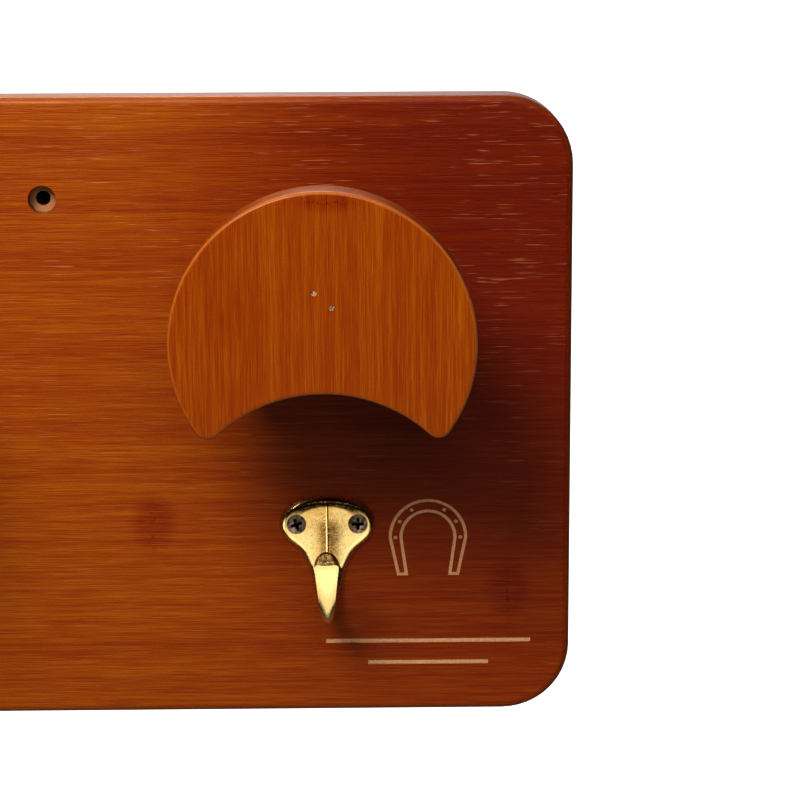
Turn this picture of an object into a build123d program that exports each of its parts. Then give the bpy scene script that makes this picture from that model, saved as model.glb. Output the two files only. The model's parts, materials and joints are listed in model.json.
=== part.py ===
from build123d import *
from math import cos, radians, sin
import os

# Wall-mounted bridle rack with crescent holders and small brass hooks. Millimetres.
# The origin is the centre of the backboard's rear face, which lies on the wall.
# +X runs along the backboard, +Y points into the wall, and +Z is up.
# Depths below are counted from the wall, so a depth of d is at y = -d.

# Backboard
STATION_NAMES = ["left", "centre", "right"]
STATION_PITCH = 194.0
END_MARGIN = 86.0
BOARD_LENGTH = (len(STATION_NAMES) - 1) * STATION_PITCH + 2 * END_MARGIN
BOARD_HEIGHT = 220.0
BOARD_THICKNESS = 18.0
BOARD_CORNER_RADIUS = 24.0
BOARD_FRONT_ROUNDING = 2.8
BOARD_REAR_ROUNDING = 0.8

# Wall-screw holes, midway between the stations
WALL_HOLE_Z = 75.0
WALL_HOLE_RADIUS = 2.5
COUNTERBORE_RADIUS = 4.8
COUNTERBORE_DEPTH = 4.5

# Crescent plate and the support block that it stands on
CRESCENT_RADIUS = 50.3
CRESCENT_CENTRE_Z = 34.7
CRESCENT_THICKNESS = 18.0
NOTCH_RADIUS = 51.0
NOTCH_DROP = 67.0
HORN_ROUNDING = 4.3
CRESCENT_EDGE_ROUNDING = 1.3
BLOCK_RADIUS = 38.0
BLOCK_DEPTH = 45.0
BLOCK_NOTCH_RADIUS = NOTCH_RADIUS + 4.0
BLOCK_HORN_ROUNDING = 3.0

BLOCK_FRONT = BOARD_THICKNESS + BLOCK_DEPTH
CRESCENT_FRONT = BLOCK_FRONT + CRESCENT_THICKNESS
NOTCH_CENTRE_Z = CRESCENT_CENTRE_Z - NOTCH_DROP

# Screws from the back of the board into the support block
SUPPORT_SCREW_LENGTH = 50.0
SUPPORT_SCREW_RADIUS = 2.25
SUPPORT_SCREW_HEAD_RADIUS = 4.25
SUPPORT_SCREW_Z = {"upper": 62.0, "lower": 36.0}
SUPPORT_SCREW_INSET = 0.4

# Thin nails through the crescent's face: sideways offset and height of each
BRAD_PLACES = {"upper": (-2.6, 52.1), "lower": (3.1, 47.2)}
BRAD_LENGTH = 38.0
BRAD_RADIUS = 0.6
BRAD_HEAD_RADIUS = 0.95
BRAD_HEAD_THICKNESS = 0.7
BRAD_INSET = 0.3

# Hook: the plate's outline, from its centre line to its right edge
HOOK_TOP_Z = -30.6
HOOK_LOBE = (16.8, -40.6)
HOOK_WAIST = [(15.1, -45.2), (11.7, -48.2), (9.2, -50.9), (7.5, -54.4)]
HOOK_FOOT = (4.7, -60.8)
HOOK_THICKNESS = 2.8
HOOK_EDGE_ROUNDING = 2.5
CASTING_LINE_WIDTH = 0.9
CASTING_LINE_HEIGHT = 0.2

# Hook: the stem and prong as sections along a J, round on the inner side of the bend and
# flatter on the outer side. Each has the distance in front of the board, the height, the
# direction of travel in degrees (-90 is straight down, 90 is straight up), the width, the
# thickness, and how far the outer side bulges.
PRONG_SECTIONS = [
    (1.3, -46.0, -90, 13.0, 2.0, 0.2),
    (1.55, -51.5, -89, 13.0, 2.6, 0.3),
    (1.9, -55.5, -86, 12.4, 3.2, 0.4),
    (2.3, -59.2, -81, 11.0, 3.8, 0.6),
    (3.6, -63.4, -69, 8.7, 4.1, 0.9),
    (6.4, -68.0, -46, 6.2, 4.3, 1.4),
    (10.8, -70.8, -14, 4.7, 4.4, 1.9),
    (15.4, -70.4, 27, 4.2, 4.4, 1.8),
    (19.6, -66.5, 57, 4.8, 4.5, 1.1),
    (22.3, -61.0, 69, 5.9, 4.8, 0.5),
    (24.2, -55.2, 73, 7.1, 5.2, 0.4),
    (25.9, -49.0, 75, 8.3, 5.7, 0.4),
    (27.9, -41.5, 75, 9.2, 6.0, 0.4),
]
PRONG_SIDE = 0.5

# Hook: the prong's end is cut at a slope and rounded over, except at its front edge,
# which is this far in front of the board and at this height
TIP_EDGE = (28.9, -47.6)
TIP_SLOPE = 46.0
TIP_ROUNDING = 1.5

# Screws of the hook
HOOK_SCREW_Z = -40.2
HOOK_SCREW_OFFSET = 10.85
HOOK_SCREW_LENGTH = 15.0
HOOK_SCREW_RADIUS = 1.6
HOOK_SCREW_HEAD_RADIUS = 3.4
HOOK_SCREW_DOME = 0.35
HOOK_SCREW_TURNS = {"left": 20.0, "right": 0.0}

# Gap round every screw head, and the Phillips recess as shares of the head's radius
HEAD_CLEARANCE = 0.2
RECESS_ARM = 0.62
RECESS_WIDTH = 0.32
RECESS_HUB = 0.56
RECESS_DEPTH = 0.55
RECESS_TAPER = 12.0

# Engraved horseshoe and two rules, at the right-hand end of the board
ENGRAVING_DEPTH = 0.3
ENGRAVING_X = 229.6
HORSESHOE_Z = -46.0
HORSESHOE_OUTER_RADIUS = 14.0
HORSESHOE_INNER_RADIUS = 9.0
HORSESHOE_HEELS = (11.0, 7.0)
HORSESHOE_LINE = 1.2
HORSESHOE_NAIL_RADIUS = 0.7
HORSESHOE_NAIL_ANGLES = [0, 30, 60, 120, 150, 180]
RULE_LENGTHS = {-84.0: 73.0, -92.0: 43.0}
RULE_HEIGHT = 1.7


def station_x(index):
    """X of a station's centre line."""
    return (index - (len(STATION_NAMES) - 1) / 2) * STATION_PITCH


def front_plane(depth, x=0.0, z=0.0):
    """Sketch plane parallel to the wall: local X is +X, local Y is +Z, outward is -Y."""
    return Plane(origin=(x, -depth, z), x_dir=(1, 0, 0), z_dir=(0, -1, 0))


def rear_plane(depth, x=0.0, z=0.0):
    """The same plane turned to face the wall, so that outward is +Y."""
    return Plane(origin=(x, -depth, z), x_dir=(-1, 0, 0), z_dir=(0, 1, 0))


# ---------------------------------------------------------------- fasteners


def screw_profile(length, radius, head_radius, ridge=0.0, mouth=0.0):
    """Half profile of a countersunk wood screw, with its head's face on the X axis.

    Without a ridge it is the plain envelope that the screw's hole is cut with, and
    mouth is how far that hole runs on past the head.
    """
    thread_top = -0.35 * length
    tip_top = -(length - 2.5 * radius)
    points = [(0, mouth)]
    if mouth:
        rim = head_radius + HEAD_CLEARANCE
        points += [(rim, mouth), (rim, -HEAD_CLEARANCE), (head_radius, -HEAD_CLEARANCE)]
    points += [(head_radius, 0), (radius, radius - head_radius), (radius, thread_top)]
    if ridge:
        pitch = 0.8 * radius
        for turn in range(int((thread_top - tip_top) / pitch)):
            crest = thread_top - (turn + 0.5) * pitch
            points.append((radius - ridge, crest + 0.25 * pitch))
            points.append((radius, crest))
            points.append((radius - ridge, crest - 0.25 * pitch))
    points += [(radius - ridge, tip_top), (0, -length)]
    return make_face(Polyline(*points, close=True))


def turned(profile):
    """Turn a half profile about its Y axis, and stand that axis along +Z."""
    return revolve(Plane.XZ * profile, axis=Axis.Z)


def wood_screw(length, radius, head_radius, turn=0.0, dome=0.0):
    """Countersunk Phillips screw along -Z, with the rim of its head at z = 0."""
    body = turned(screw_profile(length, radius, head_radius, ridge=0.22 * radius))
    if dome:
        ball_radius = (head_radius**2 + dome**2) / (2 * dome)
        ball = Pos(0, 0, dome - ball_radius) * Sphere(ball_radius)
        base = (Align.CENTER, Align.CENTER, Align.MIN)
        body += ball & Cylinder(head_radius, dome, align=base)
    arm = 2 * RECESS_ARM * head_radius
    width = RECESS_WIDTH * head_radius
    hub = Rot(0, 0, 45) * Rectangle(RECESS_HUB * head_radius, RECESS_HUB * head_radius)
    cross = Rot(0, 0, turn) * (Rectangle(arm, width) + Rectangle(width, arm) + hub)
    depth = RECESS_DEPTH * head_radius + dome
    return body - Pos(0, 0, dome) * extrude(cross, amount=-depth, taper=RECESS_TAPER)


def support_screw_seat(x, z):
    """Plane of a support screw's head, facing the wall."""
    return rear_plane(SUPPORT_SCREW_INSET, x, z)


def support_screw(x, z):
    """Screw from the back of the board into the support block."""
    screw = wood_screw(SUPPORT_SCREW_LENGTH, SUPPORT_SCREW_RADIUS, SUPPORT_SCREW_HEAD_RADIUS)
    return support_screw_seat(x, z) * screw


def support_screw_hole(x, z):
    """Countersunk hole of a support screw, open at the back of the board."""
    hole = turned(
        screw_profile(
            SUPPORT_SCREW_LENGTH,
            SUPPORT_SCREW_RADIUS,
            SUPPORT_SCREW_HEAD_RADIUS,
            mouth=2 * SUPPORT_SCREW_INSET,
        )
    )
    return support_screw_seat(x, z) * hole


def brad_profile(mouth=0.0):
    """Half profile of a thin nail, with its head's face on the X axis."""
    shoulder = -BRAD_HEAD_THICKNESS
    return make_face(
        Polyline(
            (0, mouth),
            (BRAD_HEAD_RADIUS, mouth),
            (BRAD_HEAD_RADIUS, shoulder),
            (BRAD_RADIUS, shoulder),
            (BRAD_RADIUS, -BRAD_LENGTH + 2 * BRAD_RADIUS),
            (0, -BRAD_LENGTH),
            close=True,
        )
    )


def brad_seat(x, place):
    """Plane of a brad's head, just below the crescent's face."""
    offset, z = place
    return front_plane(CRESCENT_FRONT - BRAD_INSET, x + offset, z)


def brad(x, place):
    """Nail that holds the crescent plate on the support block."""
    return brad_seat(x, place) * turned(brad_profile())


def brad_hole(x, place):
    """Hole of a brad, open at the crescent's face."""
    return brad_seat(x, place) * turned(brad_profile(mouth=2 * BRAD_INSET))


def hook_screw_seat(x, side):
    """Plane of a hook screw's head, on the face of the hook's plate."""
    offset = HOOK_SCREW_OFFSET if side == "right" else -HOOK_SCREW_OFFSET
    return front_plane(BOARD_THICKNESS + HOOK_THICKNESS, x + offset, HOOK_SCREW_Z)


def hook_screw(x, side):
    """Screw that holds the hook on the board."""
    screw = wood_screw(
        HOOK_SCREW_LENGTH,
        HOOK_SCREW_RADIUS,
        HOOK_SCREW_HEAD_RADIUS,
        turn=HOOK_SCREW_TURNS[side],
        dome=HOOK_SCREW_DOME,
    )
    return hook_screw_seat(x, side) * screw


def hook_screw_hole(x, side):
    """Countersunk hole of a hook screw, open at the plate's face."""
    hole = turned(
        screw_profile(
            HOOK_SCREW_LENGTH, HOOK_SCREW_RADIUS, HOOK_SCREW_HEAD_RADIUS, mouth=HOOK_THICKNESS
        )
    )
    return hook_screw_seat(x, side) * hole


# ---------------------------------------------------------------- backboard


def horseshoe():
    """Outline of a horseshoe with its nail holes, about the centre of its round top."""
    outer = HORSESHOE_OUTER_RADIUS
    inner = HORSESHOE_INNER_RADIUS
    outer_heel, inner_heel = HORSESHOE_HEELS
    shoe = make_face(
        [
            ThreePointArc((outer, 0), (0, outer), (-outer, 0)),
            Polyline((-outer, 0), (-outer_heel, -outer), (-inner_heel, -outer), (-inner, 0)),
            ThreePointArc((-inner, 0), (0, inner), (inner, 0)),
            Polyline((inner, 0), (inner_heel, -outer), (outer_heel, -outer), (outer, 0)),
        ]
    )
    outline = shoe - offset(shoe, amount=-HORSESHOE_LINE)
    middle = (outer + inner) / 2
    for angle in HORSESHOE_NAIL_ANGLES:
        outline += Rot(0, 0, angle) * Pos(middle, 0) * Circle(HORSESHOE_NAIL_RADIUS)
    return outline


def engraving():
    """Shallow pockets of the horseshoe and the two rules, ready to cut from the board."""
    plane = front_plane(BOARD_THICKNESS, ENGRAVING_X)
    pockets = extrude(plane * Pos(0, HORSESHOE_Z) * horseshoe(), amount=ENGRAVING_DEPTH, both=True)
    for z, length in RULE_LENGTHS.items():
        rule = plane * Pos(0, z) * Rectangle(length, RULE_HEIGHT)
        pockets += extrude(rule, amount=ENGRAVING_DEPTH, both=True)
    return pockets


def wall_hole(x):
    """Counterbored through hole for a wall screw."""
    through = extrude(rear_plane(BOARD_THICKNESS, x, WALL_HOLE_Z) * Circle(WALL_HOLE_RADIUS),
                      amount=BOARD_THICKNESS)
    counterbore = extrude(rear_plane(BOARD_THICKNESS, x, WALL_HOLE_Z) * Circle(COUNTERBORE_RADIUS),
                          amount=COUNTERBORE_DEPTH)
    return through + counterbore


def backboard():
    """Board with rounded corners and edges, and every hole and engraving in it."""
    outline = front_plane(0) * RectangleRounded(BOARD_LENGTH, BOARD_HEIGHT, BOARD_CORNER_RADIUS)
    board = extrude(outline, amount=BOARD_THICKNESS)
    front_edges = board.edges().group_by(Axis.Y)[0]
    board = fillet(front_edges, BOARD_FRONT_ROUNDING)
    rear_edges = board.edges().group_by(Axis.Y)[-1]
    board = fillet(rear_edges, BOARD_REAR_ROUNDING)
    for gap in range(len(STATION_NAMES) - 1):
        board -= wall_hole((station_x(gap) + station_x(gap + 1)) / 2)
    for index in range(len(STATION_NAMES)):
        x = station_x(index)
        for z in SUPPORT_SCREW_Z.values():
            board -= support_screw_hole(x, z)
        for side in HOOK_SCREW_TURNS:
            board -= hook_screw_hole(x, side)
    return board - engraving()


# ---------------------------------------------------------------- crescent holder


def half_moon(radius, notch_radius, horn_rounding):
    """Disc with a round notch in its lower side, about the station's centre line."""
    disc = Pos(0, CRESCENT_CENTRE_Z) * Circle(radius)
    notch = Pos(0, NOTCH_CENTRE_Z) * Circle(notch_radius)
    moon = disc - notch
    return fillet(moon.vertices(), horn_rounding)


def crescent(x):
    """Front plate of a holder, with rounded edges and its brads' holes."""
    outline = half_moon(CRESCENT_RADIUS, NOTCH_RADIUS, HORN_ROUNDING)
    plate = extrude(front_plane(BLOCK_FRONT, x) * outline, amount=CRESCENT_THICKNESS)
    rims = plate.edges().group_by(Axis.Y)[0] + plate.edges().group_by(Axis.Y)[-1]
    plate = fillet(rims, CRESCENT_EDGE_ROUNDING)
    for place in BRAD_PLACES.values():
        plate -= brad_hole(x, place)
    return plate


def support_block(x):
    """Half-moon block between the board and the crescent plate, that the strap lies over."""
    outline = half_moon(BLOCK_RADIUS, BLOCK_NOTCH_RADIUS, BLOCK_HORN_ROUNDING)
    block = extrude(front_plane(BOARD_THICKNESS, x) * outline, amount=BLOCK_DEPTH)
    for z in SUPPORT_SCREW_Z.values():
        block -= support_screw_hole(x, z)
    for place in BRAD_PLACES.values():
        block -= brad_hole(x, place)
    return block


# ---------------------------------------------------------------- hook


def hook_plate():
    """Plate with two screw lobes that narrows to a neck, its front edge well rounded."""
    half = [
        Spline((0, HOOK_TOP_Z), HOOK_LOBE, tangents=[(1, 0), (0, -1)], tangent_scalars=[1.35, 1.1]),
        Spline(HOOK_LOBE, *HOOK_WAIST, HOOK_FOOT, tangents=[(0, -1), (-0.4, -1)]),
        Line(HOOK_FOOT, (0, HOOK_FOOT[1])),
    ]
    other_half = [edge.mirror(Plane.YZ) for edge in half]
    outline = make_face(Wire(half + other_half))
    plate = extrude(front_plane(BOARD_THICKNESS) * outline, amount=HOOK_THICKNESS)
    return fillet(plate.edges().group_by(Axis.Y)[0], HOOK_EDGE_ROUNDING)


def casting_line():
    """Thin upright ridge down the middle of the plate, where the two mould halves met."""
    top = HOOK_TOP_Z - HOOK_EDGE_ROUNDING
    foot = PRONG_SECTIONS[1][1]
    half_width = CASTING_LINE_WIDTH / 2
    buried = HOOK_THICKNESS / 2
    face_y = -BOARD_THICKNESS - HOOK_THICKNESS
    profile = Polygon(
        (-half_width, face_y + buried),
        (half_width, face_y + buried),
        (half_width, face_y),
        (0, face_y - CASTING_LINE_HEIGHT),
        (-half_width, face_y),
        align=None,
    )
    return extrude(Plane.XY.offset(foot) * profile, amount=top - foot, dir=(0, 0, 1))


def prong_section(width, thickness, bulge):
    """Face about the sketch's origin: a shallow arc below, straight sides, and an oval top."""
    half = width / 2
    low = -thickness / 2
    corner = low + bulge
    side = corner + PRONG_SIDE
    outline = [
        ThreePointArc((-half, corner), (0, low), (half, corner)),
        Line((half, corner), (half, side)),
        EllipticalCenterArc((0, side), half, thickness / 2 - side, arc_size=180),
        Line((-half, side), (-half, corner)),
    ]
    return make_face(outline)


def path_plane(forward, z, direction):
    """Plane across the prong's path: local X is +X, and its normal is the way of travel."""
    away = cos(radians(direction))
    up = sin(radians(direction))
    return Plane(origin=(0, -BOARD_THICKNESS - forward, z), x_dir=(1, 0, 0), z_dir=(0, -away, up))


def prong():
    """J-shaped stem and prong, from the hook's neck to its sloping, rounded tip."""
    sections = []
    for forward, z, direction, *shape in PRONG_SECTIONS:
        sections.append(path_plane(forward, z, direction) * prong_section(*shape))
    tip_cut = path_plane(*TIP_EDGE, 90 - TIP_SLOPE)
    bent = split(loft(sections), bisect_by=tip_cut, keep=Keep.BOTTOM)
    tip = bent.faces().filter_by(GeomType.PLANE).sort_by(Axis.Z)[-1]
    rim = tip.edges().sort_by(Axis.Y)[1:]
    return fillet(rim, TIP_ROUNDING)


def hook(x):
    """Cast hook in one piece, flat at the back, with its screws' countersinks."""
    casting = hook_plate() + prong() + casting_line()
    casting = split(casting, bisect_by=front_plane(BOARD_THICKNESS), keep=Keep.TOP)
    for side in HOOK_SCREW_TURNS:
        casting -= hook_screw_hole(0, side)
    return Pos(x, 0, 0) * casting


# ---------------------------------------------------------------- assembly


def all_parts():
    """Every node's name and solid."""
    parts = {"backboard": backboard()}
    for index, station in enumerate(STATION_NAMES):
        x = station_x(index)
        parts[f"{station}_support_block"] = support_block(x)
        parts[f"{station}_crescent"] = crescent(x)
        for name, z in SUPPORT_SCREW_Z.items():
            parts[f"{station}_support_screw_{name}"] = support_screw(x, z)
        for name, place in BRAD_PLACES.items():
            parts[f"{station}_brad_{name}"] = brad(x, place)
        parts[f"{station}_hook"] = hook(x)
        for side in HOOK_SCREW_TURNS:
            parts[f"{station}_hook_screw_{side}"] = hook_screw(x, side)
    return parts


os.makedirs("parts", exist_ok=True)
for node, part in all_parts().items():
    export_step(part, f"parts/{node}.step")
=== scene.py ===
import json
from math import radians

import bmesh
import bpy
from mathutils import Matrix, Vector


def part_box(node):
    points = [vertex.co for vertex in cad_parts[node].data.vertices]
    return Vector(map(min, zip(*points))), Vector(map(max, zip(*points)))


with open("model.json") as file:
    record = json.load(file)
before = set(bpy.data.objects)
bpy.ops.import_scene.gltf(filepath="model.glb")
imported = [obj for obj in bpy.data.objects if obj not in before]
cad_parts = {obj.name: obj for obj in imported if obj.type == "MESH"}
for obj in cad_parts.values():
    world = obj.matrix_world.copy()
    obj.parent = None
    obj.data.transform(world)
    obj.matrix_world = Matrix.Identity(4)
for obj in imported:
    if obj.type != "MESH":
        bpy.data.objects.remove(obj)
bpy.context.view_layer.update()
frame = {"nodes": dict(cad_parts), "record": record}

# Looks for the wall-mounted bridle rack. Lengths are in metres, in the CAD frame:
# +X along the board, +Y into the wall, +Z up.
NODES = frame["nodes"]
STATIONS = ["left", "centre", "right"]
SLOT_OF = {part["node"]: part["material_slot"] for part in frame["record"]["subparts"]}
BOARD_LOW, BOARD_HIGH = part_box("backboard")

# The wall-screw holes, at plus and minus WALL_HOLE_X
WALL_HOLES = next(mount for mount in frame["record"]["mounts"] if mount["name"] == "wall_holes")
WALL_HOLE_X = 0.0005 * WALL_HOLES["dims"]["spacing_x_mm"]
WALL_HOLE_Z = WALL_HOLES["pos_m"][2]
WALL_HOLE_RADIUS = 0.001 * WALL_HOLES["dims"]["hole_r_mm"]
COUNTERBORE_RADIUS = 0.0049
ENGRAVING_DEPTH = 0.0003

# Bamboo: colours of the stain, of the painted highlights on rounded edges and in open pores, and of
# bare wood
STAIN = (0.36, 0.085, 0.0012, 1)
# Painted highlight on the wood's rounded edges
RIM_HIGHLIGHT_COLOUR = (0.66, 0.25, 0.05, 1)
# Painted highlight in the open pores
PORE_HIGHLIGHT_COLOUR = (0.62, 0.30, 0.15, 1)
RAW_WOOD_PALE = (0.86, 0.53, 0.28, 1)
RAW_WOOD_DEEP = (0.46, 0.22, 0.10, 1)
# The darker walls inside the wall-screw holes
HOLE_WALL_COLOUR = (0.20, 0.07, 0.02, 1)
LACQUER_IOR = 1.28

# Bamboo: the strips that the panels are glued from, and how slim its streaks and pores are,
# as width over length
STRIP_WIDTH = 0.025
STREAK_SLIMNESS = 0.016
PORE_SLIMNESS = 0.04

# The marks that the culm's nodes leave on single strips: places on the board, the sideways
# offset and the drop from the top on each crescent, and half sizes along X and Z
BOARD_MARKS = [
    (0.1325, -0.0405),
    (0.2580, -0.0655),
    (0.0300, 0.0845),
    (-0.0520, -0.0905),
    (-0.1500, -0.0405),
    (-0.2350, 0.0595),
]
BOARD_MARK_HALF_SIZE = (0.010, 0.0135)
CRESCENT_MARK_OFFSET = {"left": -0.014, "centre": 0.009, "right": 0.002}
CRESCENT_MARK_DROP = 0.0035
CRESCENT_MARK_HALF_SIZE = (0.0125, 0.0045)
SPECK_LINE_HALF_WIDTH = 0.0012

# Metals
BRASS_COLOUR = (0.95, 0.73, 0.33, 1)
BRASS_DEEP = (0.72, 0.47, 0.17, 1)
# Painted dark reflection under each hook plate's top rim, and painted shade in the brass's crevices
BRASS_DARK_REFLECTION_AND_SHADE = (0.035, 0.021, 0.006, 1)
DARK_BAND_ARCH_HEIGHT = 0.010
ZINC_COLOUR = (0.34, 0.25, 0.19, 1)
ZINC_STAIN = (0.10, 0.07, 0.05, 1)
# Painted shade in the screws' recesses and round their heads
RECESS_SHADE_COLOUR = (0.012, 0.010, 0.009, 1)
BRAD_COLOUR = (0.72, 0.46, 0.30, 1)

# Camera, from the board's right end at the middle of its rear face
CAMERA_OFFSET = Vector((-0.07237, -0.87508, 0.18263))
CAMERA_PITCH = radians(-11.787)
CAMERA_YAW = radians(-0.820)
CAMERA_ROLL = radians(0.232)
CAMERA_LENS = 112.5
CAMERA_NEAREST = 0.01

# Surroundings
WORLD_IN_FRONT = 0.02
WORLD_BEHIND = 0.55
FLOOR_GAP = 1.4
FLOOR_HALF_SIZE = 3.2
FLOOR_PALE = (0.86, 0.855, 0.84, 1)
FLOOR_DEEP = (0.80, 0.79, 0.77, 1)
WASH_HEIGHT = 4.0
SHADE_COLOUR = (0.004, 0.003, 0.002, 1)
SHADE_SETBACK = 0.0004


class Nodes:
    """A node tree, with short calls for the nodes that it is made of."""

    def __init__(self, tree):
        self.tree = tree

    def set(self, socket, value):
        """Links the socket to another node's output, or sets it to a plain value."""
        if isinstance(value, bpy.types.NodeSocket):
            self.tree.links.new(value, socket)
        else:
            socket.default_value = value

    def node(self, kind, inputs, output=0, **settings):
        made = self.tree.nodes.new("ShaderNode" + kind)
        for name, value in settings.items():
            setattr(made, name, value)
        for key, value in inputs.items():
            self.set(made.inputs[key], value)
        return made.outputs[output]

    def math(self, operation, *values):
        return self.node("Math", dict(enumerate(values)), operation=operation)

    def vector(self, operation, *values, output=0):
        return self.node("VectorMath", dict(enumerate(values)), output, operation=operation)

    def split(self, vector):
        separate = self.tree.nodes.new("ShaderNodeSeparateXYZ")
        self.set(separate.inputs[0], vector)
        return list(separate.outputs)

    def fade(self, value, start, end, low=0.0, high=1.0):
        """low where value is at start, high where it is at end, and smooth between."""
        inputs = {0: value, 1: start, 2: end, 3: low, 4: high}
        return self.node("MapRange", inputs, interpolation_type="SMOOTHSTEP")

    def both(self, *masks):
        """The product of the masks."""
        result = masks[0]
        for mask in masks[1:]:
            result = self.math("MULTIPLY", result, mask)
        return result


class Shader(Nodes):
    """A new material: place is the point in the CAD frame, x, y and z are its coordinates,
    and facing is 1 where the surface faces the front or the wall and 0 at right angles."""

    def __init__(self, name):
        self.material = bpy.data.materials.new(name)
        self.material.use_nodes = True
        super().__init__(self.material.node_tree)
        self.surface = self.tree.nodes["Principled BSDF"]
        self.place = self.node("TexCoord", {}, "Object")
        self.x, self.y, self.z = self.split(self.place)
        normal = self.node("NewGeometry", {}, "Normal")
        self.facing = self.math("ABSOLUTE", self.split(normal)[1])

    def finish(self, **inputs):
        """Sets the surface's inputs, named with underscores, and gives the material."""
        for name, value in inputs.items():
            self.set(self.surface.inputs[name.replace("_", " ")], value)
        return self.material

    def noise(self, pitch, detail=2.0, stretch=(1, 1, 1), roughness=0.5):
        """Noise with lumps of about that size, longer along an axis with a small stretch."""
        place = self.vector("MULTIPLY", self.place, stretch)
        inputs = {"Vector": place, "Scale": 1 / pitch, "Detail": detail, "Roughness": roughness}
        return self.node("TexNoise", inputs)

    def mix(self, factor, first, second):
        inputs = {0: factor, 6: first, 7: second}
        return self.node("Mix", inputs, 2, data_type="RGBA")

    def bump(self, height, distance, strength=1.0):
        inputs = {"Height": height, "Distance": distance, "Strength": strength}
        return self.node("Bump", inputs, "Normal")

    def crevice(self, reach):
        """1 in the open, and darker towards 0 where other surfaces are within reach."""
        return self.node("AmbientOcclusion", {"Distance": reach}, "AO", samples=8)

    def ellipse_distance(self, centre, half_size):
        """The distance from the centre of an upright ellipse, counted as 1 all round its rim."""
        (x, z), (half_x, half_z) = centre, half_size
        offset = self.vector("SUBTRACT", self.place, (x, 0, z))
        scaled = self.vector("MULTIPLY", offset, (1 / half_x, 0, 1 / half_z))
        return self.vector("LENGTH", scaled, output="Value")

    def spot(self, centre, half_size):
        """1 in the middle of an upright ellipse on the front, fading to 0 at its edge."""
        return self.fade(self.ellipse_distance(centre, half_size), 1.0, 0.35)


class Bamboo(Shader):
    """Stained bamboo whose fibres run along the grain axis. streaks is 0 where the stain is
    deep, depth is how deep the stain is (1 is usual, and more is darker and redder), pores
    is 1 in the open pores, and relief is the height of the surface."""

    def __init__(self, name, grain, marks=(), mark_half_size=(0, 0)):
        super().__init__(name)
        self.grain = grain
        self.streaks = self.fibres()
        self.depth = self.math("MULTIPLY_ADD", self.streaks, -0.40, 1.07)
        self.depth = self.math("MULTIPLY_ADD", self.strip_tone(), 0.08, self.depth)
        self.depth = self.math("MULTIPLY_ADD", self.noise(0.0005), 0.26, self.depth)
        for centre in marks:
            mark = self.culm_mark(centre, mark_half_size)
            self.depth = self.math("MULTIPLY_ADD", mark, 0.33, self.depth)

        grains = self.noise(0.00048, 1.0, self.stretch(PORE_SLIMNESS))
        self.pores = self.fade(grains, 0.65, 0.74)
        self.relief = self.math("SUBTRACT", self.streaks, self.pores)

    def stretch(self, slimness):
        return (slimness, 1, 1) if self.grain == "X" else (1, 1, slimness)

    def fibres(self):
        """The streaks along the grain, at three widths."""
        stretch = self.stretch(STREAK_SLIMNESS)
        fine = self.noise(0.00030, 3.0, stretch, 0.7)
        middle = self.noise(0.0014, 2.0, stretch)
        wide = self.noise(0.009, 1.0, stretch)
        blend = self.math("MULTIPLY_ADD", middle, 0.25, self.math("MULTIPLY", fine, 0.6))
        blend = self.math("MULTIPLY_ADD", wide, 0.15, blend)
        return self.fade(blend, 0.36, 0.64)

    def strip_tone(self):
        """A tone from 0 to 1 that is the same all over each of the panel's strips."""
        across = self.z if self.grain == "X" else self.x
        strip = self.math("FLOOR", self.math("DIVIDE", across, STRIP_WIDTH))
        return self.node("TexWhiteNoise", {"W": strip}, "Value", noise_dimensions="1D")

    def culm_mark(self, centre, half_size):
        """A dark cloud where the culm's node crosses a strip, with a line of specks in it."""
        cloud = self.both(self.spot(centre, half_size), self.fade(self.streaks, 1.0, 0.2, 0.25, 0.8))
        line = (SPECK_LINE_HALF_WIDTH, half_size[1])
        if self.grain == "Z":
            line = (half_size[0], SPECK_LINE_HALF_WIDTH)
        specks = self.both(self.spot(centre, line), self.fade(self.noise(0.0011), 0.5, 0.7))
        return self.math("ADD", cloud, specks)

    def stained(self, depth, rim):
        """The colour of a stain of that depth, with a painted highlight mixed in by rim on the
        rounded edges.
        """
        colour = self.node("Gamma", {"Color": STAIN, "Gamma": depth})
        rounding = self.both(self.fade(self.facing, 0.05, 0.3), self.fade(self.facing, 0.99, 0.85))
        return self.mix(self.math("MULTIPLY", rounding, rim), colour, RIM_HIGHLIGHT_COLOUR)

    def lacquered(self, colour, rough, smooth, bump_depth, coat, coat_roughness):
        """The finished wood, rough in the pores and smoother on the pale streaks."""
        return self.finish(
            Base_Color=colour,
            Roughness=self.fade(self.relief, -0.5, 1.0, rough, smooth),
            Normal=self.bump(self.relief, bump_depth),
            IOR=LACQUER_IOR,
            Coat_Weight=coat,
            Coat_IOR=LACQUER_IOR,
            Coat_Roughness=coat_roughness,
        )


def engraved_floor(wood):
    """1 on the floor of the engraving, which has its own depth below the front face."""
    depth = wood.math("SUBTRACT", wood.y, BOARD_LOW.y)
    return wood.both(wood.fade(depth, 0.6 * ENGRAVING_DEPTH, 0.8 * ENGRAVING_DEPTH),
                     wood.fade(depth, 1.4 * ENGRAVING_DEPTH, 1.2 * ENGRAVING_DEPTH),
                     wood.fade(wood.facing, 0.96, 0.99))


def drilled_wall_holes(wood):
    """1 inside the two wall-screw holes, from just under the front face to near the wall."""
    side = wood.math("SUBTRACT", wood.math("ABSOLUTE", wood.x), WALL_HOLE_X)
    up = wood.math("SUBTRACT", wood.z, WALL_HOLE_Z)
    squares = wood.math("ADD", wood.math("POWER", side, 2), wood.math("POWER", up, 2))
    radius = wood.math("SQRT", squares)
    depth = wood.math("SUBTRACT", wood.y, BOARD_LOW.y)
    return wood.both(wood.fade(radius, 1.02 * COUNTERBORE_RADIUS, COUNTERBORE_RADIUS),
                     wood.fade(depth, 0.0003, 0.0006),
                     wood.fade(wood.y, -0.0005, -0.001))


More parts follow.
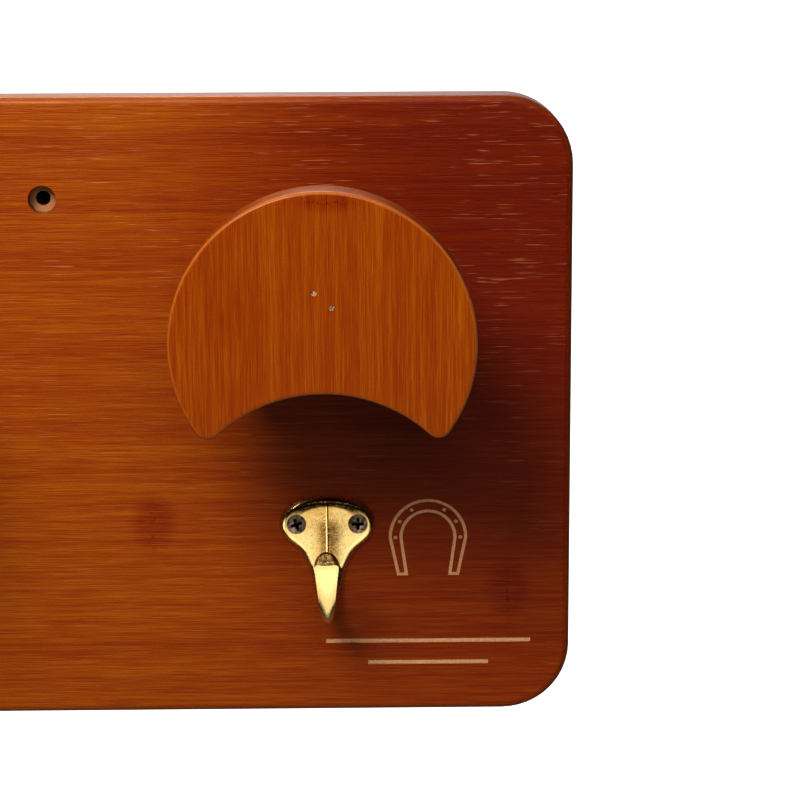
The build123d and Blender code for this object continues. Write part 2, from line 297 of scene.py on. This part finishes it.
def backboard_material():
    wood = Bamboo("bamboo_board", "X", BOARD_MARKS, BOARD_MARK_HALF_SIZE)

    # Darker and redder towards the board's ends, above all in the upper half
    ends = wood.both(wood.fade(wood.math("ABSOLUTE", wood.x), 0.12, 0.26, 0.0, 0.6),
                     wood.fade(wood.z, BOARD_LOW.z, 0.02, 0.35, 1.0))
    colour = wood.stained(wood.math("ADD", wood.depth, ends), 0.1)

    # Painted highlights where open pores catch the light, mostly in the upper half
    patches = wood.fade(wood.noise(0.03, 1.0), 0.35, 0.6)
    height = wood.fade(wood.z, BOARD_LOW.z, BOARD_HIGH.z, 0.15, 1.0)
    pore_highlights = wood.both(wood.pores, patches, height)
    colour = wood.mix(wood.math("MULTIPLY", pore_highlights, 0.42), colour, PORE_HIGHLIGHT_COLOUR)

    bare = wood.mix(wood.noise(0.0007, 3.0), RAW_WOOD_DEEP, RAW_WOOD_PALE)
    # In the wall-screw holes, the walls are darker than the floors
    hole_colour = wood.mix(wood.facing, HOLE_WALL_COLOUR, RAW_WOOD_DEEP)
    colour = wood.mix(engraved_floor(wood), colour, bare)
    colour = wood.mix(drilled_wall_holes(wood), colour, hole_colour)
    return wood.lacquered(colour, rough=0.5, smooth=0.34, bump_depth=0.00006, coat=0.3,
                          coat_roughness=0.22)


def crescent_material():
    marks = []
    for station in STATIONS:
        low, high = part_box(f"{station}_crescent")
        middle = (low.x + high.x) / 2
        marks.append((middle + CRESCENT_MARK_OFFSET[station], high.z - CRESCENT_MARK_DROP))
    wood = Bamboo("bamboo_crescent", "Z", marks, CRESCENT_MARK_HALF_SIZE)
    colour = wood.stained(wood.depth, 0.4)
    return wood.lacquered(colour, rough=0.5, smooth=0.36, bump_depth=0.00005, coat=0.4,
                          coat_roughness=0.2)


def block_material():
    wood = Bamboo("bamboo_block", "Z")
    colour = wood.stained(wood.math("ADD", wood.depth, 0.2), 0.3)
    return wood.lacquered(colour, rough=0.6, smooth=0.42, bump_depth=0.00008, coat=0.3,
                          coat_roughness=0.3)


def dark_reflection_band(metal, station):
    """1 along an arched band just under the top rim of the station's hook plate, where a dark
    reflection is painted.
    """
    low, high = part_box(f"{station}_hook")
    centre = ((low.x + high.x) / 2, high.z - DARK_BAND_ARCH_HEIGHT)
    distance = metal.ellipse_distance(centre, ((high.x - low.x) / 2, DARK_BAND_ARCH_HEIGHT))
    return metal.both(metal.fade(distance, 0.62, 0.72), metal.fade(distance, 0.97, 0.93),
                      metal.fade(metal.z, centre[1] + 0.002, centre[1] + 0.006))


def brass_material():
    """Polished brass casting, worn deeper in colour towards each plate's top, with a painted dark
    reflection under each plate's top rim and painted shade in its crevices.
    """
    metal = Shader("brass")
    mottle = metal.noise(0.0011, 3.0, roughness=0.65)
    blotches = metal.noise(0.006)
    plate_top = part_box("right_hook")[1].z
    worn = metal.both(metal.fade(blotches, 0.35, 0.65, 0.5, 1.0),
                      metal.fade(metal.z, plate_top - 0.016, plate_top - 0.005))
    colour = metal.mix(worn, BRASS_COLOUR, BRASS_DEEP)
    band = 0.0
    for station in STATIONS:
        band = metal.math("MAXIMUM", band, dark_reflection_band(metal, station))
    # Painted dark reflection, mottled, in the arched band under each plate's top rim
    dark_reflection = metal.both(band, metal.fade(mottle, 0.34, 0.52, 0.85, 1.0))
    colour = metal.mix(dark_reflection, colour, BRASS_DARK_REFLECTION_AND_SHADE)
    # Painted shade in the crevices, darker where other surfaces are near
    crevice_shade = metal.fade(metal.crevice(0.0025), 0.65, 0.15, 0.0, 0.6)
    colour = metal.mix(crevice_shade, colour, BRASS_DARK_REFLECTION_AND_SHADE)
    return metal.finish(
        Base_Color=colour,
        Metallic=1.0,
        Roughness=metal.fade(mottle, 0.3, 0.7, 0.16, 0.30),
        Normal=metal.bump(mottle, 0.00005, 0.5),
    )


def zinc_material():
    """Zinc-plated screws, with painted shade in their recesses and round their heads."""
    metal = Shader("zinc_steel")
    cloud = metal.noise(0.0016, 3.0, roughness=0.6)
    colour = metal.mix(metal.fade(cloud, 0.35, 0.65), ZINC_COLOUR, ZINC_STAIN)
    # Painted shade where other surfaces are near
    colour = metal.mix(metal.fade(metal.crevice(0.0011), 0.85, 0.45), colour, RECESS_SHADE_COLOUR)
    return metal.finish(
        Base_Color=colour,
        Metallic=1.0,
        Roughness=metal.fade(cloud, 0.3, 0.7, 0.28, 0.46),
        Normal=metal.bump(metal.noise(0.0004), 0.00002, 0.5),
    )


def brad_material():
    """Dull steel nails with darker blotches."""
    metal = Shader("brad_steel")
    cloud = metal.noise(0.0005)
    return metal.finish(
        Base_Color=metal.mix(metal.fade(cloud, 0.35, 0.65), BRAD_COLOUR, ZINC_STAIN),
        Metallic=0.2,
        Roughness=metal.fade(cloud, 0.3, 0.7, 0.35, 0.55),
        Normal=metal.bump(cloud, 0.00002),
    )


def dress_parts():
    """Gives every CAD node the material of its slot in the record."""
    materials = {
        "bamboo_board": backboard_material(),
        "bamboo_crescent": crescent_material(),
        "bamboo_block": block_material(),
        "brass": brass_material(),
        "zinc_steel": zinc_material(),
        "brad_steel": brad_material(),
    }
    for name, node in NODES.items():
        node.data.materials.clear()
        node.data.materials.append(materials[SLOT_OF[name]])


def add_object(name, data, place=(0, 0, 0)):
    made = bpy.data.objects.new(name, data)
    made.location = place
    bpy.context.scene.collection.objects.link(made)
    return made


def camera():
    data = bpy.data.cameras.new("camera")
    data.lens = CAMERA_LENS
    data.clip_start = CAMERA_NEAREST
    made = add_object("camera", data)
    turn = (
        Matrix.Rotation(CAMERA_YAW, 4, "Z")
        @ Matrix.Rotation(CAMERA_PITCH, 4, "X")
        @ Matrix.Rotation(CAMERA_ROLL, 4, "Y")
        @ Matrix.Rotation(radians(90), 4, "X")
    )
    place = Vector((BOARD_HIGH.x, BOARD_HIGH.y, (BOARD_LOW.z + BOARD_HIGH.z) / 2))
    made.matrix_world = Matrix.Translation(place + CAMERA_OFFSET) @ turn
    bpy.context.scene.camera = made


def softbox(name, place, target, size, power, only=()):
    """A round area light that faces the target. With only, it lights just those objects."""
    data = bpy.data.lights.new(name, "AREA")
    data.shape = "DISK"
    data.size = size
    data.energy = power
    made = add_object(name, data, place)
    made.rotation_mode = "QUATERNION"
    made.rotation_quaternion = (Vector(target) - Vector(place)).to_track_quat("-Z", "Y")
    made.visible_camera = False
    if only:
        lit = bpy.data.collections.new(name)
        for part in only:
            lit.objects.link(part)
        made.light_linking.receiver_collection = lit
        made.light_linking.blocker_collection = lit


def middle_of(node):
    low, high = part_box(node)
    return (low + high) / 2


def lights():
    """A soft key from the upper left, a fill, light from below as off a floor, and a light
    behind, then the cards that only the hooks and their screws reflect."""
    crescent = middle_of("right_crescent")
    softbox("key", crescent + Vector((-0.36, -0.60, 0.68)), crescent, 0.45, 8.0)
    softbox("fill", crescent + Vector((0.10, -1.30, 0.80)), crescent, 1.0, 5.3)
    softbox("bounce", crescent + Vector((0.10, -0.90, -1.0)), crescent, 2.0, 5.0)
    softbox("back", crescent + Vector((-0.05, 0.80, 0.62)), crescent, 0.5, 1.8)

    hook = middle_of("right_hook")
    metal = [node for name, node in NODES.items() if "hook" in name]
    softbox("card", hook + Vector((0.0, -0.60, -0.30)), hook, 0.80, 0.56, metal)
    softbox("low_card", hook + Vector((0.0, -0.50, -1.0)), hook, 1.6, 1.3, metal)
    softbox("side_card", hook + Vector((-0.75, -0.68, -0.27)), hook, 0.5, 0.9, metal)
    softbox("glint", hook + Vector((-0.16, -0.20, 0.44)), hook, 0.10, 0.15, metal)


def surroundings():
    """A white background, and dimmer light all round that is brighter behind the object."""
    world = bpy.data.worlds.new("studio")
    world.use_nodes = True
    nodes = Nodes(world.node_tree)
    towards_wall = nodes.split(nodes.node("TexCoord", {}, "Generated"))[1]
    light = nodes.fade(towards_wall, 0.1, 0.95, WORLD_IN_FRONT, WORLD_BEHIND)
    seen = nodes.node("LightPath", {}, "Is Camera Ray")
    background = nodes.tree.nodes["Background"]
    nodes.set(background.inputs["Color"], (1, 1, 1, 1))
    nodes.set(background.inputs["Strength"], nodes.node("Mix", {0: seen, 2: light, 3: 1.0}))
    bpy.context.scene.world = world


def floor():
    """A plain pale floor under the rack, too low for the main camera to see. It has a light
    of its own, and sends none of it back to the rack."""
    shader = Shader("floor")
    shader.finish(Base_Color=shader.mix(shader.noise(0.02), FLOOR_DEEP, FLOOR_PALE), Roughness=0.8)
    level = BOARD_LOW.z - FLOOR_GAP
    mesh = bpy.data.meshes.new("floor")
    signs = [(-1, -1), (1, -1), (1, 1), (-1, 1)]
    corners = [(x * FLOOR_HALF_SIZE, y * FLOOR_HALF_SIZE, level) for x, y in signs]
    mesh.from_pydata(corners, [], [(0, 1, 2, 3)])
    mesh.materials.append(shader.material)
    made = add_object("floor", mesh)
    made.visible_diffuse = False
    made.visible_glossy = False
    softbox("floor_wash", (0, 0, level + WASH_HEIGHT), (0, 0, level), 4.0, 190, [made])


def shade_in_wall_holes():
    """Dark discs at the far end of the wall-screw holes, for the wall that isn't there."""
    shader = Shader("shade")
    shader.finish(Base_Color=SHADE_COLOUR, Roughness=1.0, IOR=1.01)
    for side in (-1, 1):
        place = Vector((side * WALL_HOLE_X, -SHADE_SETBACK, WALL_HOLE_Z))
        turn = Matrix.Translation(place) @ Matrix.Rotation(radians(90), 4, "X")
        form = bmesh.new()
        bmesh.ops.create_circle(
            form, cap_ends=True, segments=48, radius=WALL_HOLE_RADIUS, matrix=turn
        )
        mesh = bpy.data.meshes.new("shade")
        form.to_mesh(mesh)
        form.free()
        mesh.materials.append(shader.material)
        add_object("shade", mesh)


def view_settings():
    """A plain transform, with the contrast of a product picture."""
    settings = bpy.context.scene.view_settings
    settings.view_transform = "Standard"
    settings.look = "High Contrast"


dress_parts()
camera()
lights()
surroundings()
floor()
shade_in_wall_holes()
view_settings()
